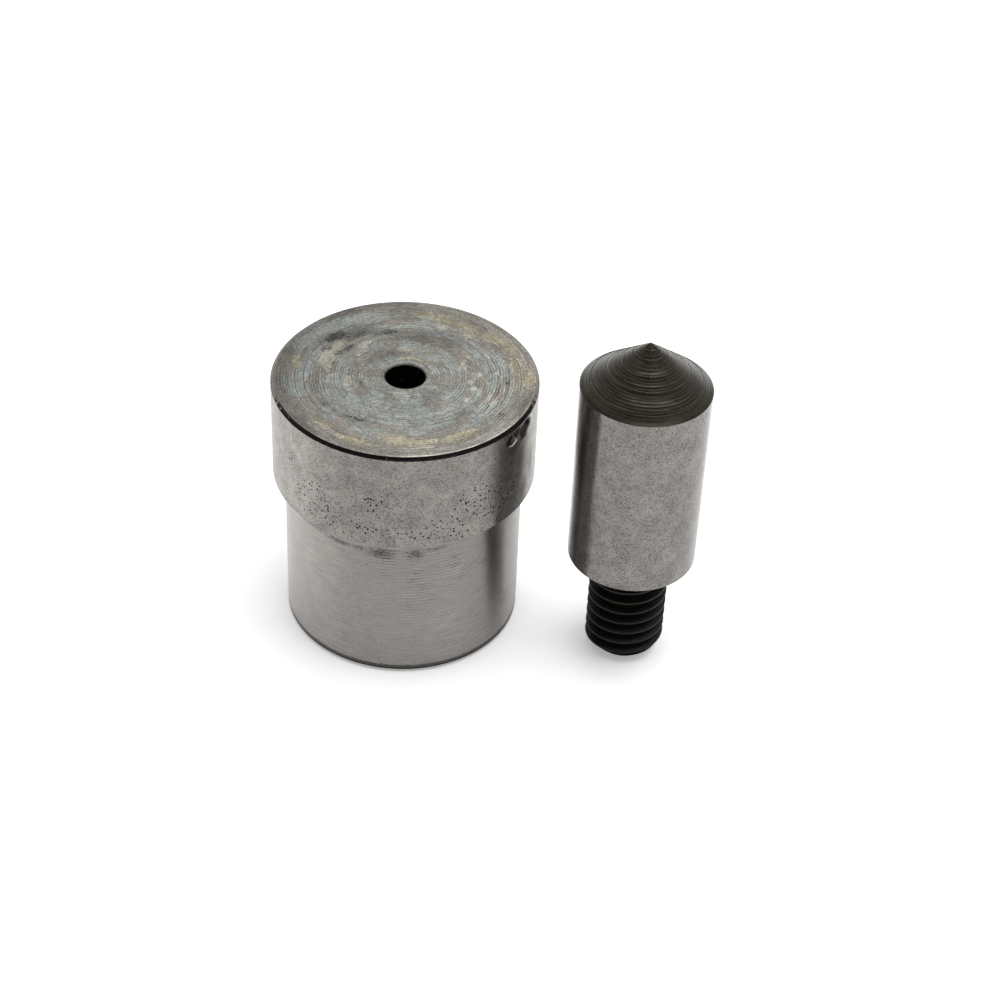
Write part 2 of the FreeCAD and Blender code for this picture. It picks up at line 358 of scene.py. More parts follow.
def ground_steel(name, axis, light, dark, grain, lines, gloss, grit):
    """Tool steel, cylindrically ground. The wheel leaves fine lines round the piece, which smear what it
    mirrors upwards and downwards and keep it sharp sideways. Handling and storage leave a cloudy grey
    and small dark pits, which crowd together where the pitting attribute says. The turned_marks attribute
    gives dark dashes of the turning that grinding has left, soot a dark film, chipped the dull grey
    of a broken surface and chip_edge its bright edge."""
    material, tree = new_material(name)
    point, pattern = around_axis(tree, axis, 11.0, 5.0, True)
    pitting, marks, soot, chipped, chip_edge = (
        add_node(tree, "Attribute", attribute_name=field, out="Fac")
        for field in ("pitting", "turned_marks", "soot", "chipped", "chip_edge"))
    drawn = add_node(tree, "VectorMath", (point, (1.0, 1.0, 1.5)), operation="MULTIPLY")
    cloud, speckle, scored = (
        add_node(tree, "TexNoise", {"Vector": place, "Scale": size, "Detail": detail, "Roughness": rough})
        for place, size, detail, rough in (
            (point, 0.8, 4.0, 0.6), (drawn, 6.0, 4.0, 0.8), (pattern, 1.0, 3.0, 0.6)))
    tone = add_node(tree, "Math", (cloud, 0.22, speckle), operation="MULTIPLY_ADD")
    share = add_node(tree, "MapRange", (tone, 0.61 - grain, 0.61 + grain))
    base = add_node(tree, "Mix", {FACTOR: share, FIRST: hex_colour(dark), SECOND: hex_colour(light)}, **MIX)
    lined = add_node(tree, "MapRange", (scored, 0.3, 0.7, 1.0 - lines, 1.0 + lines))
    base = add_node(tree, "VectorMath", {0: base, "Scale": lined}, operation="SCALE")
    turns = add_node(tree, "TexWave", {
        "Vector": point, "Scale": WAVE_SCALE / FEED, "Distortion": 1.2, "Detail": 2.0},
        out="Fac", bands_direction="Z")
    dash = add_node(tree, "MapRange", (turns, 0.5, 0.1))
    faint = add_node(tree, "MapRange", (scored, 0.44, 0.58))
    patchy = add_node(tree, "MapRange", (cloud, 0.42, 0.56, 0.15, 1.0))
    for share in (faint, patchy, marks):
        dash = add_node(tree, "Math", (dash, share), operation="MULTIPLY", use_clamp=True)
    cells = add_node(tree, "TexVoronoi", {"Vector": point, "Scale": PITS_PER_MM}, out="Color")
    near = cells.node.outputs["Distance"]
    chance = add_node(tree, "SeparateColor", (cells,))
    luck = add_node(tree, "Math", (chance, pitting), operation="ADD")
    room = add_node(tree, "MapRange", (luck, 1.0, 1.35, 0.16, PIT_RADIUS))
    jag = add_node(tree, "MapRange", (speckle, 0.0, 1.0, -0.45, 0.45))
    depth = add_node(tree, "Math", (room, near), operation="SUBTRACT")
    depth = add_node(tree, "Math", (depth, jag), operation="ADD")
    there = add_node(tree, "Math", (luck, 1.0), operation="GREATER_THAN")
    pit = add_node(tree, "MapRange", (depth, 0.0, 0.08, 0.0, there))
    lip = add_node(tree, "MapRange", (depth, -0.14, -0.04, 0.0, 0.35))
    lip = add_node(tree, "Math", (lip, there), operation="MULTIPLY")
    rag = add_node(tree, "MapRange", (speckle, 0.3, 0.7, -0.9, 0.9))
    film = add_node(tree, "Math", (soot, rag), operation="ADD")
    film = add_node(tree, "MapRange", (film, 0.25, 0.8, 0.0, 0.75))
    # Of these colours, 23211e darkens with soot and stains and paints shade at the shank's foot and under the
    # flange, and f2f0ea paints a highlight on the chips' edges.
    for share, colour in ((dash, "35322e"), (lip, "d2cfca"), (pit, "171614"), (film, "23211e"),
                          (chipped, "54524e"), (chip_edge, "f2f0ea")):
        base = add_node(tree, "Mix", {FACTOR: share, FIRST: base, SECOND: hex_colour(colour)}, **MIX)
    rough = add_node(tree, "MapRange", (speckle, 0.3, 0.7, gloss - 0.02, gloss + 0.04))
    rough = add_node(tree, "Math", (chipped, 0.25, rough), operation="MULTIPLY_ADD")
    height = add_node(tree, "Math", (speckle, grit), operation="MULTIPLY")
    height = add_node(tree, "Math", (pit, -2.5, height), operation="MULTIPLY_ADD")
    shader = add_node(tree, "BsdfPrincipled", {
        "Base Color": base, "Metallic": add_node(tree, "MapRange", (chip_edge, 0.0, 1.0, 1.0, 0.1)),
        "Roughness": rough, "Anisotropic": 0.95, "Anisotropic Rotation": 0.25,
        "Tangent": add_node(tree, "Tangent", direction_type="RADIAL", axis="Z"),
        "Normal": add_node(tree, "Bump", {"Strength": 0.5, "Distance": 0.00002, "Height": height})})
    add_node(tree, "OutputMaterial", {"Surface": shader})
    return material


def oxidised_face(sizes):
    """Tool steel faced on a lathe, then hardened: the tool's rings stay, and heat has left flakes of
    blue-grey oxide, short pieces of ring with thin dark seams, and brassy stains over a warm grey, with
    dark scale in places. Handling has scored bright arcs into it."""
    material, tree = new_material("oxidised_turned_tool_steel")
    point, pattern = around_axis(tree, (0, 0), 5.0, 0.8, False)
    plates = around_axis(tree, (0, 0), 1.4, 3.6, False)[1]
    blue, brass, pale, scale, film, wear_and_highlight = (
        add_node(tree, "Attribute", attribute_name=field, out="Fac")
        for field in ("blue_oxide", "brass_stain", "pale_stain", "dark_scale", "film", "worn_bright"))
    rings, cloud, ragged, fine = (
        add_node(tree, "TexNoise", {"Vector": place, "Scale": size, "Detail": detail, "Roughness": rough})
        for place, size, detail, rough in (
            (pattern, 1.0, 3.0, 0.7), (point, 0.5, 3.0, 0.6), (point, 1.1, 5.0, 0.65),
            (point, 4.5, 5.0, 0.75)))
    bend = add_node(
        tree, "TexNoise", {"Vector": point, "Scale": 1.6, "Detail": 4.0, "Roughness": 0.6}, out="Color")
    bend = add_node(tree, "VectorMath", (bend, (0.8, 0.8, 0.8), plates), operation="MULTIPLY_ADD")
    flakes = add_node(tree, "TexVoronoi", {"Vector": bend, "Scale": 1.0}, out="Color")
    gap = add_node(
        tree, "TexVoronoi", {"Vector": bend, "Scale": 1.0}, out="Distance", feature="DISTANCE_TO_EDGE")
    chance = add_node(tree, "SeparateColor", (flakes,))
    luck = add_node(tree, "MapRange", (chance, 0.0, 1.0, -0.6, 0.6))
    wander, jag = (
        add_node(tree, "MapRange", (noise, 0.3, 0.7, -1.0, 1.0), clamp=False) for noise in (ragged, fine))
    shares = []
    for field, noises, limits in (
            (blue, ((luck, 1.0), (wander, 0.5)), (-0.04, 0.04, 0.0, 1.0)),
            (brass, ((wander, 0.5), (luck, 0.4), (jag, 0.35)), (-0.05, 0.35, 0.0, 0.75)),
            (pale, ((wander, 0.45), (jag, 0.25)), (-0.1, 0.5, 0.0, 0.85)),
            (scale, ((jag, 1.0), (wander, 0.5), (luck, 0.4)), (0.45, 0.85, 0.0, 0.9))):
        for noise, weight in noises:
            field = add_node(tree, "Math", (noise, weight, field), operation="MULTIPLY_ADD")
        shares.append(add_node(tree, "MapRange", (field, *limits)))
    flake, brass, pale, scale = shares
    some = add_node(tree, "MapRange", (chance.node.outputs["Green"], 0.4, 0.5))
    broken = add_node(tree, "MapRange", (fine, 0.45, 0.58))
    seam = add_node(tree, "MapRange", (gap, 0.02, 0.06, 0.8, 0.0))
    for share in (some, broken):
        seam = add_node(tree, "Math", (seam, share), operation="MULTIPLY")
    worn_grey, oxide = (*sizes.face_grey, 1.0), (*sizes.face_blue, 1.0)
    base = add_node(tree, "Mix", {FACTOR: flake, FIRST: worn_grey, SECOND: oxide}, **MIX)
    for share, colour in ((brass, "ada58c"), (pale, "bbb6a8"), (scale, "3b3a34"), (seam, "33322f")):
        base = add_node(tree, "Mix", {FACTOR: share, FIRST: base, SECOND: hex_colour(colour)}, **MIX)
    turns = add_node(tree, "TexWave", {
        "Vector": point, "Scale": WAVE_SCALE / (sizes.groove_spacing * TO_MM), "Distortion": 2.5, "Detail": 2.0,
        "Detail Scale": 0.8}, out="Fac", wave_type="RINGS", rings_direction="Z")
    turns = add_node(tree, "MapRange", (turns, 0.0, 1.0, -0.55, 0.55))
    line = add_node(tree, "MapRange", (rings, 0.34, 0.66, -0.7, 0.7))
    line = add_node(tree, "Math", (line, turns), operation="ADD")
    rubbed = add_node(tree, "MapRange", (wear_and_highlight, 0.0, 0.4))
    depth = add_node(tree, "MapRange", (cloud, 0.4, 0.62, 0.1, 0.38))
    for share, weight in ((flake, 0.1), (rubbed, 0.35), (pale, -0.35)):
        depth = add_node(tree, "Math", (share, weight, depth), operation="MULTIPLY_ADD", use_clamp=True)
    shade = add_node(tree, "Math", (line, depth, 1.0), operation="MULTIPLY_ADD")
    mottle = add_node(tree, "MapRange", (fine, 0.3, 0.7, 0.5, 1.5), clamp=False)
    plate = add_node(tree, "MapRange", (chance.node.outputs["Blue"], 0.0, 1.0, 0.86, 1.14))
    # Multiplied in last: darker patches, a painted gradient of light across the face and painted shade at the
    # mouth of the hole.
    for share in (mottle, plate, film):
        shade = add_node(tree, "Math", (shade, share), operation="MULTIPLY")
    base = add_node(tree, "VectorMath", {0: base, "Scale": shade}, operation="SCALE")
    # Painted highlights: the scored arcs of the worn patches as bright glints, and bright lines along the rim
    # and the hole's edge.
    arcs = add_node(tree, "VectorMath", (plates, (1.2, 1.2, 5.4)), operation="MULTIPLY")
    scored = add_node(tree, "TexNoise", {"Vector": arcs, "Scale": 1.0, "Detail": 2.0, "Roughness": 0.6})
    scored = add_node(tree, "MapRange", (scored, 0.56, 0.66, 0.0, 0.8))
    glint = add_node(tree, "Math", (scored, rubbed), operation="MULTIPLY")
    rim = add_node(tree, "MapRange", (fine, 0.3, 0.7, -2.1, -0.9))
    rim = add_node(tree, "Math", (wear_and_highlight, rim), operation="ADD")
    rim = add_node(tree, "MapRange", (rim, 0.0, 0.3))
    glint = add_node(tree, "Math", (glint, rim), operation="MAXIMUM")
    base = add_node(tree, "Mix", {FACTOR: glint, FIRST: base, SECOND: hex_colour("d9d6cd")}, **MIX)
    height = add_node(tree, "Math", (line, depth), operation="MULTIPLY")
    for share, weight in ((fine, 0.8), (flake, 0.35), (seam, -1.0)):
        height = add_node(tree, "Math", (share, weight, height), operation="MULTIPLY_ADD")
    shader = add_node(tree, "BsdfPrincipled", {
        "Base Color": base, "Metallic": 0.9,
        "Roughness": add_node(tree, "MapRange", (glint, 0.0, 1.0, 0.42, 0.25)),
        "Normal": add_node(tree, "Bump", {"Strength": 0.6, "Distance": 0.00003, "Height": height})})
    add_node(tree, "OutputMaterial", {"Surface": shader})
    return material


def black_scale():
    """Tool steel as it left the hardening furnace: a black, slightly uneven scale with a dull shine. The
    rim_wear attribute says where handling has rubbed it to a brown grey."""
    material, tree = new_material("black_scaled_tool_steel")
    point = around_axis(tree, (0, 0), 1.0, 1.0, False)[0]
    rough = add_node(tree, "TexNoise", {"Vector": point, "Scale": 3.0, "Detail": 5.0, "Roughness": 0.7})
    share = add_node(tree, "MapRange", (rough, 0.45, 0.7))
    base = add_node(tree, "Mix", {FACTOR: share, FIRST: hex_colour("060504"), SECOND: hex_colour("16130f")},
                    **MIX)
    wear = add_node(tree, "Attribute", attribute_name="rim_wear", out="Fac")
    ragged = add_node(tree, "MapRange", (rough, 0.3, 0.7, -0.6, 0.6))
    rubbed = add_node(tree, "Math", (wear, ragged), operation="ADD")
    rubbed = add_node(tree, "MapRange", (rubbed, 0.45, 0.55))
    base = add_node(tree, "Mix", {FACTOR: rubbed, FIRST: base, SECOND: hex_colour("75716a")}, **MIX)
    shader = add_node(tree, "BsdfPrincipled", {
        "Base Color": base, "Roughness": 0.4, "Specular IOR Level": 0.1,
        "Normal": add_node(tree, "Bump", {"Strength": 0.6, "Distance": 0.00005, "Height": rough})})
    add_node(tree, "OutputMaterial", {"Surface": shader})
    return material


def bored_steel():
    """Drilled and bored tool steel, dulled by the hardening: dark, with fine lines round the hole."""
    material, tree = new_material("bored_tool_steel")
    pattern = around_axis(tree, (0, 0), 6.0, 1.0, True)[1]
    lines = add_node(tree, "TexNoise", {"Vector": pattern, "Scale": 1.0, "Detail": 3.0, "Roughness": 0.6})
    base = add_node(tree, "Mix", {FACTOR: lines, FIRST: hex_colour("2b2a28"), SECOND: hex_colour("4d4b48")},
                    **MIX)
    shader = add_node(tree, "BsdfPrincipled", {
        "Base Color": base, "Metallic": 1.0,
        "Roughness": add_node(tree, "MapRange", (lines, 0.3, 0.7, 0.35, 0.5))})
    add_node(tree, "OutputMaterial", {"Surface": shader})
    return material


def dark_cone_steel(axis):
    """Tool steel point, turned in coarse steps and left dark brown from the hardening oil. The edges of
    the steps, which the terrace_edge attribute marks, are rubbed paler."""
    material, tree = new_material("dark_turned_tool_steel")
    point, pattern = around_axis(tree, axis, 7.0, 1.5, False)
    rings, fine, cloud = (
        add_node(tree, "TexNoise", {"Vector": place, "Scale": size, "Detail": detail, "Roughness": rough})
        for place, size, detail, rough in (
            (pattern, 1.0, 3.0, 0.65), (point, 5.0, 4.0, 0.75), (point, 0.6, 3.0, 0.5)))
    share = add_node(tree, "MapRange", (rings, 0.35, 0.65))
    base = add_node(tree, "Mix", {FACTOR: share, FIRST: hex_colour("24221d"), SECOND: hex_colour("39362f")},
                    **MIX)
    brown = add_node(tree, "MapRange", (cloud, 0.5, 0.65, 0.0, 0.6))
    edge = add_node(tree, "Attribute", attribute_name="terrace_edge", out="Fac")
    broken = add_node(tree, "MapRange", (fine, 0.36, 0.56, 0.15, 1.0))
    edge = add_node(tree, "Math", (edge, broken), operation="MULTIPLY")
    speck = add_node(tree, "MapRange", (fine, 0.6, 0.72, 0.0, 0.7))
    for share, colour in ((brown, "3b362d"), (edge, "756e5f"), (speck, "5d584d")):
        base = add_node(tree, "Mix", {FACTOR: share, FIRST: base, SECOND: hex_colour(colour)}, **MIX)
    height = add_node(tree, "Math", (fine, 0.6, rings), operation="MULTIPLY_ADD")
    shader = add_node(tree, "BsdfPrincipled", {
        "Base Color": base, "Metallic": 0.9, "Roughness": 0.34,
        "Normal": add_node(tree, "Bump", {"Strength": 0.6, "Distance": 0.00002, "Height": height})})
    add_node(tree, "OutputMaterial", {"Surface": shader})
    return material


def black_oxide(axis):
    """Screw steel with a hot black oxide finish and a little oil: near black, with a soft shine on crests.
    Where the paste attribute says, dried locking paste fills the thread, dull and brownish."""
    material, tree = new_material("black_oxide_screw_steel")
    point = around_axis(tree, axis, 1.0, 1.0, False)[0]
    rough = add_node(tree, "TexNoise", {"Vector": point, "Scale": 3.0, "Detail": 4.0, "Roughness": 0.65})
    base = add_node(tree, "Mix", {FACTOR: rough, FIRST: hex_colour("060503"), SECOND: hex_colour("17130d")},
                    **MIX)
    paste = add_node(tree, "Attribute", attribute_name="paste", out="Fac")
    crumbs = add_node(tree, "MapRange", (rough, 0.45, 0.6))
    crumbs = add_node(tree, "Math", (paste, crumbs), operation="MULTIPLY")
    base = add_node(tree, "Mix", {FACTOR: crumbs, FIRST: base, SECOND: hex_colour("38332c")}, **MIX)
    shader = add_node(tree, "BsdfPrincipled", {
        "Base Color": base, "Specular IOR Level": 0.2,
        "Roughness": add_node(tree, "MapRange", (rough, 0.3, 0.7, 0.34, 0.58)),
        "Normal": add_node(tree, "Bump", {"Strength": 0.4, "Distance": 0.00003, "Height": rough})})
    add_node(tree, "OutputMaterial", {"Surface": shader})
    return material


# Lower die

FACE, SCALE, FLANGE, SHANK, BORED = range(5)
HOLE_EDGE, BASE_BEVEL, EDGE_BREAK, STEP_FILLET, SLUG_BEVEL = 0.08, 0.3, 0.12, 0.4, 0.4
# In millimetres: height to which the base bevel's black scale runs up the shank as a painted contact
# shadow, height and depth of the bands at the shank's ends whose rings lie closer, and depth of the
# flange's band whose rings carry the chips
FOOT_SHADOW_LINE, FOOT_BAND, STEP_BAND, CHIP_BAND = 0.42, 1.3, 2.0, 2.4
# Angles between which the steps round the die are close for the chips, their step, and the other steps
CHIP_ZONE = (-44.0, -14.0)
CHIP_STEP = 0.18
PLAIN_STEPS = 205
# Depth of the wear round the rim, in millimetres, and the middle of the rim's part that keeps its scale
RIM_WEAR = 0.02
SCALED_RIM = -84

# Chips under the rim: angle in degrees, depth below the face, half length round and half height in
# millimetres, share of the full depth, and the direction in degrees of the painted highlight on their edge
CHIPS = (
    (-35.4, 1.06, 0.78, 0.56, 0.80, -55),
    (-32.0, 0.86, 0.54, 0.48, 0.45, -35),
    (-24.6, 1.14, 1.30, 0.80, 1.00, -8),
)

# Patches on the working face: angle in degrees, distance from the axis, half length round and half
# width in millimetres
BLUE_PATCHES = (
    (148, 8.8, 1.9, 0.7), (129, 8.6, 2.0, 0.5), (-168, 7.9, 1.7, 0.8), (-135, 7.5, 1.4, 0.7),
    (-118, 6.9, 1.3, 0.5), (114, 7.8, 3.2, 0.6), (-162, 5.3, 3.4, 1.9), (-125, 4.8, 2.8, 1.8),
    (-90, 4.4, 2.8, 1.6), (21, 7.2, 2.6, 0.9), (-30, 4.1, 1.7, 1.0), (-38, 7.1, 2.8, 0.8),
    (-68, 6.6, 2.4, 0.6), (-60, 5.4, 2.6, 0.9), (-2, 6.6, 2.0, 0.7), (49, 6.2, 2.2, 0.7),
    (160, 7.4, 1.6, 0.6),
)
BRASS_PATCHES = (
    (84, 8.2, 1.6, 0.5), (66, 8.0, 2.2, 0.7), (45, 7.9, 2.2, 0.6), (31, 8.4, 1.7, 0.55),
    (13, 8.4, 1.8, 0.45), (1, 9.1, 1.2, 0.6), (-56, 8.1, 1.7, 0.45), (-85, 8.0, 2.2, 0.5),
    (-92, 7.5, 1.6, 0.4), (-114, 8.6, 1.5, 0.45), (-132, 8.4, 1.3, 0.35), (171, 8.3, 0.7, 0.35),
    (78, 2.3, 1.2, 0.3),
)
PALE_PATCHES = (
    (158, 6.2, 1.7, 1.0), (146, 6.4, 0.8, 0.5), (172, 5.9, 0.6, 0.4), (-168, 4.4, 0.8, 0.5),
    (33, 5.2, 0.4, 0.28), (20, 4.5, 0.45, 0.32), (6, 5.5, 0.4, 0.3), (-4, 4.9, 0.35, 0.28),
    (-12, 5.2, 0.35, 0.28), (-29, 5.2, 0.3, 0.25), (95, 3.4, 0.9, 0.4), (131, 5.0, 0.8, 0.35),
    (52, 7.0, 0.5, 0.25), (70, 6.9, 0.4, 0.3),
)
SCALE_PATCHES = (
    (142, 7.3, 1.7, 0.8), (143, 5.5, 1.7, 0.65), (136, 7.0, 0.8, 0.4), (168, 5.5, 0.5, 0.35),
    (110, 5.8, 1.6, 0.5), (-2, 7.5, 0.9, 0.5), (1, 8.2, 0.7, 0.4), (152, 6.8, 0.8, 0.5),
    (-160, 3.4, 0.8, 0.35), (-118, 6.3, 1.2, 0.35), (30, 8.0, 0.6, 0.22), (-30, 8.3, 0.5, 0.35),
    (128, 6.2, 1.6, 0.7),
)
# Patches where the working face is darker
DIM_PATCHES = (
    (178, 9.3, 9.0, 1.2), (118, 9.6, 6.0, 0.8), (130, 6.8, 3.0, 1.1), (75, 5.2, 3.5, 1.2),
    (-20, 9.3, 2.5, 0.7), (-140, 9.5, 3.0, 0.5), (120, 3.0, 1.8, 1.0), (-45, 6.1, 1.2, 0.6),
    (-54, 3.2, 1.5, 0.9), (150, 7.6, 2.0, 0.7),
)
# Worn patches on the face, where the rings show stronger and scored arcs are painted as bright glints
WORN_AND_GLINT_PATCHES = ((-15, 7.2, 2.4, 1.3), (-30, 8.2, 0.9, 0.5), (15, 6.9, 2.4, 0.9), (-75, 8.9, 2.5, 0.3))
# Painted highlights along the face's outer rim and round the hole's edge: angle in degrees, distance from the
# axis, half length round and half width in millimetres
RIM_LIGHTS = (
    (-74, 8.64, 1.5, 0.09), (-78, 9.58, 2.2, 0.09), (-60, 9.62, 1.6, 0.08), (-40, 9.62, 2.2, 0.08),
    (-20, 9.62, 1.4, 0.08), (80, 1.75, 1.0, 0.12), (50, 1.8, 0.5, 0.1), (125, 1.8, 0.5, 0.1),
)

# Crowds of pits on the flange's side: angle, height, half length round and half height
PITTED = (
    (-143, 17.6, 1.0, 0.8), (-128, 15.8, 2.2, 1.6), (-119, 15.2, 1.2, 0.9), (-130, 14.0, 1.6, 0.8),
    (-100, 17.2, 1.2, 1.2), (-104, 14.6, 1.8, 1.0), (-87, 14.6, 1.0, 0.9), (-58, 16.0, 2.0, 1.6),
    (-52, 17.0, 1.4, 1.2), (-66, 15.2, 2.2, 0.9), (-37, 16.2, 1.3, 2.0), (-61, 13.9, 1.2, 0.6),
    (-118, 14.3, 3.2, 0.8), (-75, 14.2, 3.5, 0.7), (-45, 15.5, 1.4, 1.6), (20, 15.0, 3.0, 2.0),
    (80, 15.5, 3.5, 2.2), (140, 15.0, 2.6, 1.8),
)
# Where grinding has left the turning marks on the shank, and where the shank is darkened: the long thin
# bands just under the flange are painted shade, the other patches are stains
TURNED_MARKS = (
    (-86, 10.2, 4.4, 2.8), (-62, 9.6, 2.4, 2.6), (-80, 7.0, 3.0, 1.2), (40, 9.5, 6.0, 3.0),
    (130, 9.0, 6.0, 3.0),
)
SOOT_AND_SHADE = (
    (-97, 11.8, 1.7, 0.8), (-81, 11.8, 0.9, 0.75), (-138, 12.1, 3.2, 0.4), (-118, 11.9, 1.8, 0.3),
    (-62, 11.0, 0.5, 0.15), (-108, 11.9, 0.8, 0.3), (-72, 12.1, 1.6, 0.2),
)
# Dark stains on the flange's side, below the chips
FLANGE_STAINS = ((-28, 17.6, 0.85, 2.9), (-31, 19.6, 1.3, 0.9), (-17, 16.4, 0.5, 1.6), (-24, 14.6, 0.8, 1.2))


def die_outline(rim_bevel):
    """Half section of the die: out along the base, up the shank, out under the flange and up its side,
    over the bevel, in along the face, down the hole, out at its relief and down the slug hole."""
    top, foot = DIE_HEIGHT, FLANGE_FOOT
    relief = top - HOLE_EDGE - HOLE_LAND
    fine_from = top - CHIP_BAND
    shank_top = foot - STEP_FILLET
    return join_runs([
        (SHANK, run_of((SLUG_RADIUS + SLUG_BEVEL, 0), (SHANK_RADIUS - BASE_BEVEL, 0), 2.0)),
        (SCALE, run_of((SHANK_RADIUS - BASE_BEVEL, 0), (SHANK_RADIUS, BASE_BEVEL), 0.2)),
        # Black scale carried up the shank past the bevel, as a painted contact shadow at the foot.
        (SCALE, run_of((SHANK_RADIUS, BASE_BEVEL), (SHANK_RADIUS, FOOT_SHADOW_LINE), 0.07)),
        (SHANK, run_of((SHANK_RADIUS, FOOT_SHADOW_LINE), (SHANK_RADIUS, FOOT_BAND), 0.22)),
        (SHANK, run_of((SHANK_RADIUS, FOOT_BAND), (SHANK_RADIUS, shank_top - STEP_BAND), 1.0)),
        (SHANK, run_of((SHANK_RADIUS, shank_top - STEP_BAND), (SHANK_RADIUS, shank_top), 0.2)),
        (SHANK, arc_of((SHANK_RADIUS + STEP_FILLET, shank_top), STEP_FILLET, 180, 90, 6)),
        (SHANK, run_of((SHANK_RADIUS + STEP_FILLET, foot), (FLANGE_RADIUS - EDGE_BREAK, foot), 0.3)),
        (FLANGE, run_of((FLANGE_RADIUS - EDGE_BREAK, foot), (FLANGE_RADIUS, foot + EDGE_BREAK), 0.1)),
        (FLANGE, run_of((FLANGE_RADIUS, foot + EDGE_BREAK), (FLANGE_RADIUS, fine_from), 0.8)),
        (FLANGE, run_of((FLANGE_RADIUS, fine_from), (FLANGE_RADIUS, top - rim_bevel), 0.045)),
        (SCALE, run_of((FLANGE_RADIUS, top - rim_bevel), (FLANGE_RADIUS - rim_bevel, top), 0.09)),
        (FACE, run_of((FLANGE_RADIUS - rim_bevel, top), (HOLE_RADIUS + HOLE_EDGE, top), 0.066)),
        (FACE, run_of((HOLE_RADIUS + HOLE_EDGE, top), (HOLE_RADIUS, top - HOLE_EDGE), 0.06)),
        (SCALE, run_of((HOLE_RADIUS, top - HOLE_EDGE), (HOLE_RADIUS, relief), 1.5)),
        (SCALE, run_of((HOLE_RADIUS, relief), (SLUG_RADIUS, relief), 0.8)),
        (BORED, run_of((SLUG_RADIUS, relief), (SLUG_RADIUS, SLUG_BEVEL), 4.0)),
        (BORED, run_of((SLUG_RADIUS, SLUG_BEVEL), (SLUG_RADIUS + SLUG_BEVEL, 0), 0.3)),
    ])


def die_angles():
    """Steps round the die, close together at the chips and wider elsewhere."""
    first, last = np.radians(CHIP_ZONE)
    close = np.arange(first, last, math.radians(CHIP_STEP))
    wide = last + (TURN - (last - first)) * np.arange(PLAIN_STEPS) / PLAIN_STEPS
    return np.concatenate([close, wide])


def chip_shapes(angles, height, deepest):
    """Depth of the chips, their broken floor and their bright edge. Each is a dish with a slightly wavy
    outline, whose depth grows over its outer three fifths and stays level within. The edge shines on the
    side that the last number of its row names, and ends where it meets a chip lower in the table."""
    depth = np.zeros(np.broadcast(angles, height).shape)
    floor, edge = depth.copy(), depth.copy()
    for middle, below, half_round, half_height, share, bright in CHIPS:
        along = turn_between(angles, math.radians(middle)) * FLANGE_RADIUS / half_round
        across = (height - (DIE_HEIGHT - below)) / half_height
        spoke = np.arctan2(across, along)
        ragged = 1 + 0.05 * np.sin(3 * spoke + 1) + 0.04 * np.sin(7 * spoke + middle)
        away = np.hypot(along, across) * ragged
        depth = np.maximum(depth, deepest * share * smooth((1 - away) / 0.6))
        floor = np.maximum(floor, smooth((1 - away) / 0.1))
        facing = smooth(np.cos(spoke - math.radians(bright)) * 1.4 - 0.2)
        edge *= 1 - smooth((0.95 - away) / 0.1)
        shine = share * facing * smooth(1.5 - np.abs(away - 0.93) / (0.12 * half_round))
        edge = np.maximum(edge, shine)
    return depth, floor * (1 - edge), edge


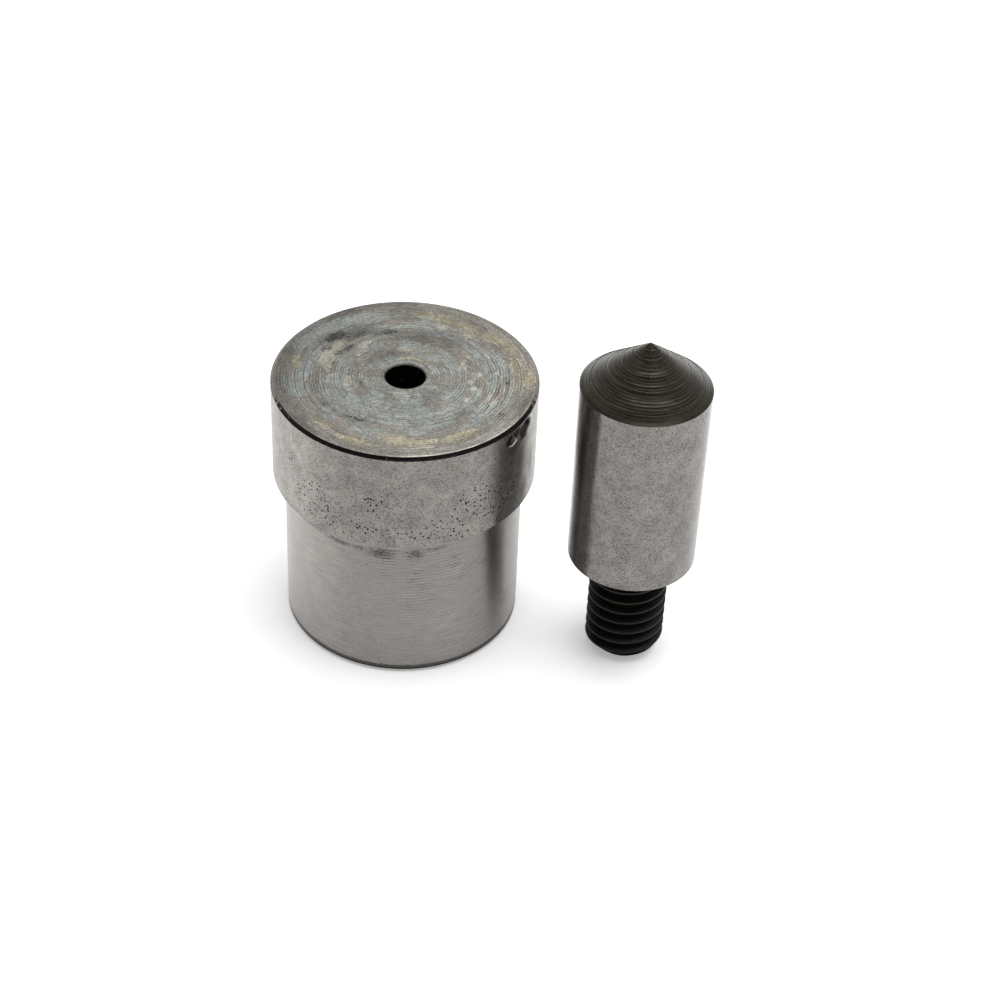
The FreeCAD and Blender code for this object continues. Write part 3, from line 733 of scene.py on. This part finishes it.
def make_lower_die(sizes):
    """The die as one turned surface. Fine rings lower its face, and wear and chips cut its rim back."""
    rim_bevel = sizes.rim_bevel * TO_MM
    outline, finish = die_outline(rim_bevel)
    angles = die_angles()
    rings = spun(outline, angles)
    radius, height = outline[:, :1], outline[:, 1:]
    flange, shank = (finish == FLANGE)[:, None], (finish == SHANK)[:, None]
    on_face = (finish == FACE)[:, None] & (radius > HOLE_RADIUS + HOLE_EDGE)
    on_face &= radius < FLANGE_RADIUS - 2 * rim_bevel
    spacing, depth = sizes.groove_spacing * TO_MM, sizes.groove_depth * TO_MM
    drift = 0.6 * wave(angles, 3, 1, 5)
    groove = 0.5 - 0.5 * np.cos(TURN * radius / spacing + drift)
    uneven = smooth(0.5 + 0.5 * np.sin(radius * 2.3 + 3 * wave(angles, 5, 1, 4)))
    rings[:, :, 2] -= on_face * depth * groove * uneven
    chips, floor, edge = chip_shapes(angles, height, sizes.chip_depth * TO_MM)
    outside = (radius > SHANK_RADIUS) & (height > FLANGE_FOOT)
    side = (flange | (finish == SCALE)[:, None]) & outside
    bite = side * chips
    bite += (side & (radius < FLANGE_RADIUS)) * RIM_WEAR * (1 + wave(angles, 8, 5, 60))
    heading = np.stack([np.cos(angles), np.sin(angles), 0 * angles], axis=1)
    rings -= bite[:, :, None] * heading
    # Painted contact shadow: a dark band round the foot of the shank, carried with the soot.
    foot_shadow = 2 * smooth((0.3 - np.abs(height - FOOT_SHADOW_LINE)) / 0.2) * (radius > SHANK_RADIUS - 0.1)
    from_scale = np.abs(np.degrees(turn_between(angles, math.radians(SCALED_RIM))))
    worn_away = smooth((from_scale - 62) / 22)
    # Painted shade: the face darkens towards the mouth of the hole.
    hole_shade = 0.45 + 0.55 * smooth((radius - HOLE_RADIUS - 0.05) / 0.12)
    # Painted light: the face grows lighter towards the front right and darker towards the back left.
    painted_light_slope = 1 + 0.17 * (0.8 * np.cos(angles) - 0.5 * np.sin(angles)) * radius / FLANGE_RADIUS
    on_face_fields = {
        name: patch_field(angles, radius, patches)
        for name, patches in (("brass_stain", BRASS_PATCHES), ("pale_stain", PALE_PATCHES),
                              ("dark_scale", SCALE_PATCHES))}
    blue = np.maximum(patch_field(angles, radius, BLUE_PATCHES), np.clip((7.9 - radius) * 1.6, -1.5, 0.02))
    film = smooth(patch_field(angles, radius, DIM_PATCHES) + 0.2)
    lights = 2 * patch_field(angles, radius, RIM_LIGHTS)
    pitted = patch_field(angles, height, PITTED, FLANGE_RADIUS)
    turned = patch_field(angles, height, TURNED_MARKS, SHANK_RADIUS)
    soot = np.maximum(patch_field(angles, height, SOOT_AND_SHADE, SHANK_RADIUS), foot_shadow)
    stained = patch_field(angles, height, FLANGE_STAINS, FLANGE_RADIUS)
    fields = on_face_fields | {
        "blue_oxide": blue,
        "film": painted_light_slope * (1 - 0.3 * film) * hole_shade,
        "worn_bright": np.maximum(patch_field(angles, radius, WORN_AND_GLINT_PATCHES), lights),
        "pitting": flange * (0.04 + 0.42 * np.clip(0.6 + pitted, 0, 1)),
        "turned_marks": shank * np.clip(0.22 + turned, 0.1, 1),
        "soot": shank * np.clip(soot, 0, 2) + flange * np.clip(stained, 0, 1),
        "chipped": flange * floor,
        "chip_edge": flange * edge,
        "rim_wear": worn_away * (height > FLANGE_FOOT) * (radius > SHANK_RADIUS),
    }
    materials = [
        oxidised_face(sizes), black_scale(),
        ground_steel("ground_pitted_tool_steel", (0, 0), "a9a5a0", "63605c", 0.1, 0.05, 0.36, 0.08),
        ground_steel("fine_ground_tool_steel", (0, 0), "a19d99", "807c78", 0.15, 0.2, 0.34, 0.04),
        bored_steel(),
    ]
    piece = ring_surface("turned_die", rings, finish, materials, fields=fields)
    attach(piece, "die")
    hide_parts("lower_die")


# Punch head

CONE, SIDE, FOOT = range(3)
HEAD_STEPS = 240
FOOT_BREAK, STUD_HOLE_BEVEL, STUD_HOLE_GAP, STUD_HOLE_SPARE = 0.1, 0.3, 0.02, 1.6
DRILL_HALF_ANGLE = 59.0
TERRACED_SHARE = 0.95
NIB = 0.1
# Points across one terrace: share of its width, share of its full drop and how pale it is
TERRACE_ROWS = ((0.0, 0.0, 0.8), (0.3, 0.3, 0.0), (0.62, 0.72, 0.0), (0.82, 1.0, 0.0), (0.92, 0.55, 1.0))
# Nicks on the head's side: angle, height, half length round and half height
NICKS = ((-160, 20.2, 0.25, 0.6), (-144, 13.5, 0.2, 0.3), (-125, 16.5, 0.6, 0.2), (-95, 21.6, 1.2, 1.0),
         (-88, 15.2, 1.4, 1.2))


def make_punch_head(sizes):
    """The head as one turned surface with a pole at its point and one at the end of its drilled hole.
    The cone has terraces: each sinks below the slope towards its outer edge and rises again there."""
    rng = np.random.default_rng(11)
    cone_foot = HEAD_TIP - sizes.cone_height * TO_MM
    slope = sizes.cone_height * TO_MM / HEAD_RADIUS
    hole_radius = STUD_RADIUS + STUD_HOLE_GAP
    hole_top = STUD_TOP + STUD_HOLE_SPARE
    terraces = sizes.terraces
    edges = np.linspace(NIB, HEAD_RADIUS * TERRACED_SHARE, terraces + 1)
    edges[1:-1] += rng.uniform(-0.06, 0.06, terraces - 1)
    steps_in, cut, pale = np.array(TERRACE_ROWS).T
    inner, outer = edges[:-1, None], edges[1:, None]
    terrace_radius = (inner + (outer - inner) * steps_in).ravel()
    cut, pale = np.tile(cut, terraces), np.tile(pale, terraces)
    strength = np.repeat(rng.uniform(0.2, 0.85, terraces), len(steps_in))
    outline, finish = join_runs([
        (CONE, np.stack([terrace_radius, HEAD_TIP - terrace_radius * slope], axis=1)),
        (CONE, run_of((edges[-1], HEAD_TIP - edges[-1] * slope), (HEAD_RADIUS, cone_foot), 0.12)),
        (SIDE, run_of((HEAD_RADIUS, cone_foot), (HEAD_RADIUS, HEAD_FOOT + FOOT_BREAK), 0.3)),
        (SIDE, run_of((HEAD_RADIUS, HEAD_FOOT + FOOT_BREAK), (HEAD_RADIUS - FOOT_BREAK, HEAD_FOOT), 0.1)),
        (FOOT, run_of((HEAD_RADIUS - FOOT_BREAK, HEAD_FOOT),
                      (hole_radius + STUD_HOLE_BEVEL, HEAD_FOOT), 0.5)),
        (FOOT, run_of((hole_radius + STUD_HOLE_BEVEL, HEAD_FOOT),
                      (hole_radius, HEAD_FOOT + STUD_HOLE_BEVEL), 0.2)),
        (FOOT, run_of((hole_radius, HEAD_FOOT + STUD_HOLE_BEVEL), (hole_radius, hole_top), 2.0)),
        (FOOT, np.array([[hole_radius, hole_top]])),
    ])
    outline, finish = outline[::-1], finish[::-1]
    finish = np.concatenate([finish[1:], finish[-1:]])
    angles = TURN * np.arange(HEAD_STEPS) / HEAD_STEPS
    rings = spun(outline, angles)
    drop = np.zeros((len(outline), 1))
    drop[-len(cut):, 0] = (cut * strength)[::-1]
    shine = np.zeros((len(outline), 1))
    shine[-len(pale):, 0] = (pale * strength)[::-1]
    uneven = 0.85 + 0.3 * wave(angles, 21, 1, 7)
    rings[:, :, 2] -= drop * uneven * sizes.terrace_depth * TO_MM
    drill_point = hole_top + hole_radius / math.tan(math.radians(DRILL_HALF_ANGLE))
    shift = np.array([*PUNCH_AXIS, 0])
    height = outline[:, 1:]
    on_side = (outline[:, :1] > HEAD_RADIUS - 0.01) & (height < cone_foot)
    fields = {
        "terrace_edge": shine * np.clip(0.75 + 0.5 * wave(angles, 23, 1, 9), 0.2, 1),
        "pitting": on_side * (0.09 + 0.16 * np.clip(patch_field(angles, height, NICKS, HEAD_RADIUS), 0, 1)),
        "soot": on_side * np.clip(patch_field(angles, height, NICKS[:2], HEAD_RADIUS), 0, 1),
    }
    materials = [
        dark_cone_steel(PUNCH_AXIS),
        ground_steel("ground_punch_steel", PUNCH_AXIS, "94908c", "585551", 0.1, 0.06, 0.2, 0.01),
        bored_steel(),
    ]
    piece = ring_surface("ground_head", rings + shift, finish, materials, fields=fields,
                         first_pole=shift + (0, 0, drill_point), last_pole=shift + (0, 0, HEAD_TIP))
    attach(piece, "punch")
    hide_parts("punch_head")


# Threaded stud

STUD_STEPS = 128
ROW_HEIGHT = 0.026
THREAD_CLEARANCE = 0.01
SOCKET_FLATS, SOCKET_DEPTH, SOCKET_POINT = 3.0, 3.5, 0.5
# Depth of the thread as a share of its pitch
THREAD_DEPTH = 0.6134
# Length inside the head that keeps the thread's full detail, in millimetres, and past it one row in so many
SEEN_GRIP = 1.0
HIDDEN_ROWS = 12
# The turns next to the head, chewed and filled with paste: their length, the ramp to it, its height and
# the angle about which it starts
PASTE_LENGTH, PASTE_RAMP, PASTE_HEIGHT, PASTE_ANGLE = 1.3, 0.4, 0.18, -115


def thread_radius(angles, height, pitch):
    """Radius of a right-hand thread: the crest is an eighth of the pitch wide, the flanks fall at thirty
    degrees from square and the root is a quarter of the pitch wide, all counted from where the helix
    is at that angle."""
    depth = THREAD_DEPTH * pitch
    place = (height / pitch - angles / TURN) % 1.0
    from_crest = np.abs(place - 0.5) * pitch
    fall = (from_crest - pitch / 16) / (pitch * (0.5 - 1 / 16 - 1 / 8))
    fall = np.clip(fall, 0, 1)
    soft = fall - 0.06 * np.sin(TURN * fall)
    return STUD_RADIUS - THREAD_CLEARANCE - depth * soft


def make_threaded_stud(sizes):
    """The stud as rings of a helical surface. Each ring's radius follows the thread, and the bevels at the
    ends and the hexagon of the socket bound it."""
    pitch, bevel = sizes.thread_pitch * TO_MM, sizes.stud_bevel * TO_MM
    angles = TURN * np.arange(STUD_STEPS) / STUD_STEPS
    rows = np.arange(0, STUD_TOP + ROW_HEIGHT / 2, STUD_TOP / round(STUD_TOP / ROW_HEIGHT))[:, None]
    keep = rows[:, 0] < HEAD_FOOT + SEEN_GRIP
    keep |= (np.arange(len(rows)) % HIDDEN_ROWS == 0) | (rows[:, 0] >= STUD_TOP - 0.001)
    rows = rows[keep]
    radius = thread_radius(angles, rows, pitch)
    radius = np.minimum(radius, STUD_RADIUS - THREAD_CLEARANCE - bevel + rows)
    radius = np.minimum(radius, STUD_RADIUS - THREAD_CLEARANCE - bevel + STUD_TOP - rows)
    chewed = np.clip((rows - (HEAD_FOOT - PASTE_LENGTH)) / PASTE_RAMP, 0, 1) * (rows < HEAD_FOOT)
    facing = np.clip(turn_between(angles, math.radians(PASTE_ANGLE)) / 0.6 + 1, 0, 1)
    lumps = wave(angles, 31, 6, 40) * np.cos(rows * 9) * 0.08
    radius = np.minimum(radius + chewed * (PASTE_HEIGHT + lumps) * facing, STUD_RADIUS - THREAD_CLEARANCE)
    walls = np.stack([radius * np.cos(angles), radius * np.sin(angles), rows + 0 * angles], axis=2)
    flat = SOCKET_FLATS / 2 / np.cos((angles + math.pi / 6) % (math.pi / 3) - math.pi / 6)
    socket_rows = np.array([SOCKET_DEPTH, 0.0])[:, None]
    socket = np.stack([flat * np.cos(angles) + 0 * socket_rows, flat * np.sin(angles) + 0 * socket_rows,
                       socket_rows + 0 * angles], axis=2)
    rings = np.concatenate([socket, walls])
    paste = np.concatenate([np.zeros((len(socket), STUD_STEPS)), chewed * facing])
    shift = np.array([*PUNCH_AXIS, 0])
    finish = np.zeros(len(rings))
    piece = ring_surface(
        "screw_thread", rings + shift, finish, [black_oxide(PUNCH_AXIS)], fields={"paste": paste},
        first_pole=shift + (0, 0, SOCKET_DEPTH + SOCKET_POINT), last_pole=shift + (0, 0, STUD_TOP))
    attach(piece, "punch")
    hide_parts("threaded_stud")


# Stage

FLOOR_HALF = 0.9
FLOOR_SINK = 0.00002
OPENING_SIDE = (0.0, -0.87, 0.49)
BACK_SIDE = (-0.5, 0.87, 0.0)
TOP_BOX_PLACE = (0.09, 0.0, 0.4)
TOP_BOX_SIDE = 0.32
SENSOR_WIDTH = 36.0
NEAREST_SEEN = 0.01


def floor_material(lift, back_glow):
    """White card. The camera and the steel see it as white, a little lifted, with its soft shadows. Behind
    the set it glows more, in the steel's mirror images alone."""
    material, tree = new_material("white_card")
    path = add_node(tree, "LightPath", out="Is Camera Ray")
    seen = add_node(tree, "Math", (path, path.node.outputs["Is Glossy Ray"]), operation="MAXIMUM")
    base = add_node(tree, "Mix", {FACTOR: seen, FIRST: grey(0.82), SECOND: grey(1.0)}, **MIX)
    where = add_node(tree, "TexCoord", out="Object")
    behind = add_node(tree, "VectorMath", (where, BACK_SIDE), operation="DOT_PRODUCT", out="Value")
    behind = add_node(tree, "MapRange", (behind, -0.008, 0.01, 0.0, back_glow))
    behind = add_node(tree, "Math", (behind, path.node.outputs["Is Glossy Ray"]), operation="MULTIPLY")
    glow = add_node(tree, "Math", (seen, lift, behind), operation="MULTIPLY_ADD")
    shader = add_node(tree, "BsdfPrincipled", {
        "Base Color": base, "Roughness": 0.9, "Specular IOR Level": 0.0,
        "Emission Color": grey(1.0), "Emission Strength": glow})
    add_node(tree, "OutputMaterial", {"Surface": shader})
    return material


def pale_tent(low, high, opening):
    """A white photo tent: white at the horizon, dimmer overhead, with a dim opening above the camera's
    side of the horizon."""
    world = bpy.data.worlds.new("pale_tent")
    world.use_nodes = True
    tree = world.node_tree
    tree.nodes.clear()
    heading = add_node(tree, "TexCoord", out="Generated")
    up = add_node(tree, "SeparateXYZ", (heading,), out="Z")
    cloth = add_node(tree, "MapRange", (up, 0.0, 0.8, low, high))
    ahead = add_node(tree, "VectorMath", (heading, OPENING_SIDE), operation="DOT_PRODUCT", out="Value")
    dark = add_node(tree, "MapRange", (ahead, 0.55, 0.85))
    above = add_node(tree, "MapRange", (up, 0.12, 0.3))
    dark = add_node(tree, "Math", (dark, above), operation="MULTIPLY")
    cloth = add_node(tree, "Mix", {0: dark, 2: cloth, 3: opening}, data_type="FLOAT")
    back = add_node(tree, "Background", {"Color": grey(1.0), "Strength": cloth})
    add_node(tree, "OutputWorld", {"Surface": back})
    return world


def set_stage(sizes):
    """White floor, pale surroundings and the camera of the picture."""
    scene = bpy.context.scene
    scene.view_settings.view_transform = "Standard"
    mesh = bpy.data.meshes.new("floor")
    far = FLOOR_HALF
    mesh.from_pydata([(-far, -far, -FLOOR_SINK), (far, -far, -FLOOR_SINK), (far, far, -FLOOR_SINK),
                      (-far, far, -FLOOR_SINK)], [], [(0, 1, 2, 3)])
    mesh.materials.append(floor_material(sizes.floor_lift, sizes.back_glow))
    floor = bpy.data.objects.new("floor", mesh)
    scene.collection.objects.link(floor)
    scene.world = pale_tent(sizes.low_tent, sizes.high_tent, sizes.opening)
    lamp = bpy.data.lights.new("top_box", "AREA")
    lamp.shape = "SQUARE"
    lamp.size = TOP_BOX_SIDE
    lamp.energy = sizes.top_box
    box = bpy.data.objects.new("top_box", lamp)
    box.location = TOP_BOX_PLACE
    scene.collection.objects.link(box)
    tilt, roll = sizes.camera_tilt, sizes.camera_roll
    ahead = Vector((0, math.cos(tilt), -math.sin(tilt)))
    across = Vector((1, 0, 0))
    down = ahead.cross(across)
    right = math.cos(roll) * across + math.sin(roll) * down
    below = math.cos(roll) * down - math.sin(roll) * across
    lens = bpy.data.cameras.new("camera")
    lens.lens = sizes.lens
    lens.sensor_width = SENSOR_WIDTH
    lens.clip_start = NEAREST_SEEN
    camera = bpy.data.objects.new("camera", lens)
    turned = Matrix((right, -below, -ahead)).transposed().to_4x4()
    camera.matrix_world = Matrix.Translation(sizes.camera_place) @ turned
    scene.collection.objects.link(camera)
    scene.camera = camera


# Operators and panel

class TOOLING_OT_lower_die(bpy.types.Operator):
    """Add the turned lower die"""
    bl_idname = "tooling.lower_die"
    bl_label = "Add lower die"

    def execute(self, context):
        make_lower_die(context.scene.die_sizes)
        return {"FINISHED"}


class TOOLING_OT_punch_head(bpy.types.Operator):
    """Add the pointed punch head"""
    bl_idname = "tooling.punch_head"
    bl_label = "Add punch head"

    def execute(self, context):
        make_punch_head(context.scene.punch_sizes)
        return {"FINISHED"}


class TOOLING_OT_threaded_stud(bpy.types.Operator):
    """Add the stud with its thread"""
    bl_idname = "tooling.threaded_stud"
    bl_label = "Add threaded stud"

    def execute(self, context):
        make_threaded_stud(context.scene.punch_sizes)
        return {"FINISHED"}


class TOOLING_OT_stage(bpy.types.Operator):
    """Add the floor, the lamps and the camera"""
    bl_idname = "tooling.stage"
    bl_label = "Set the stage"

    def execute(self, context):
        set_stage(context.scene.stage_sizes)
        return {"FINISHED"}


STEPS = (TOOLING_OT_stage, TOOLING_OT_lower_die, TOOLING_OT_punch_head, TOOLING_OT_threaded_stud)
GROUPS = {"die_sizes": DieSizes, "punch_sizes": PunchSizes, "stage_sizes": StageSizes}


class TOOLING_PT_panel(bpy.types.Panel):
    """Lists the steps and their sizes"""
    bl_idname = "TOOLING_PT_panel"
    bl_label = "Hole punch tooling"
    bl_space_type = "VIEW_3D"
    bl_region_type = "UI"
    bl_category = "Tooling"

    def draw(self, context):
        for step in STEPS:
            self.layout.operator(step.bl_idname)
        for holder, group in GROUPS.items():
            column = self.layout.column(heading=group.__doc__)
            for name in group.__annotations__:
                column.prop(getattr(context.scene, holder), name)


def register():
    for kind in (*GROUPS.values(), *STEPS, TOOLING_PT_panel):
        bpy.utils.register_class(kind)
    for holder, group in GROUPS.items():
        setattr(bpy.types.Scene, holder, PointerProperty(type=group))


def unregister():
    for holder in GROUPS:
        delattr(bpy.types.Scene, holder)
    for kind in (TOOLING_PT_panel, *reversed(STEPS), *reversed(tuple(GROUPS.values()))):
        bpy.utils.unregister_class(kind)


def main():
    """Registers the classes, runs each step and writes the two boxes."""
    register()
    bpy.ops.tooling.stage()
    bpy.ops.tooling.lower_die()
    bpy.ops.tooling.punch_head()
    bpy.ops.tooling.threaded_stud()


if __name__ == "__main__":
    main()
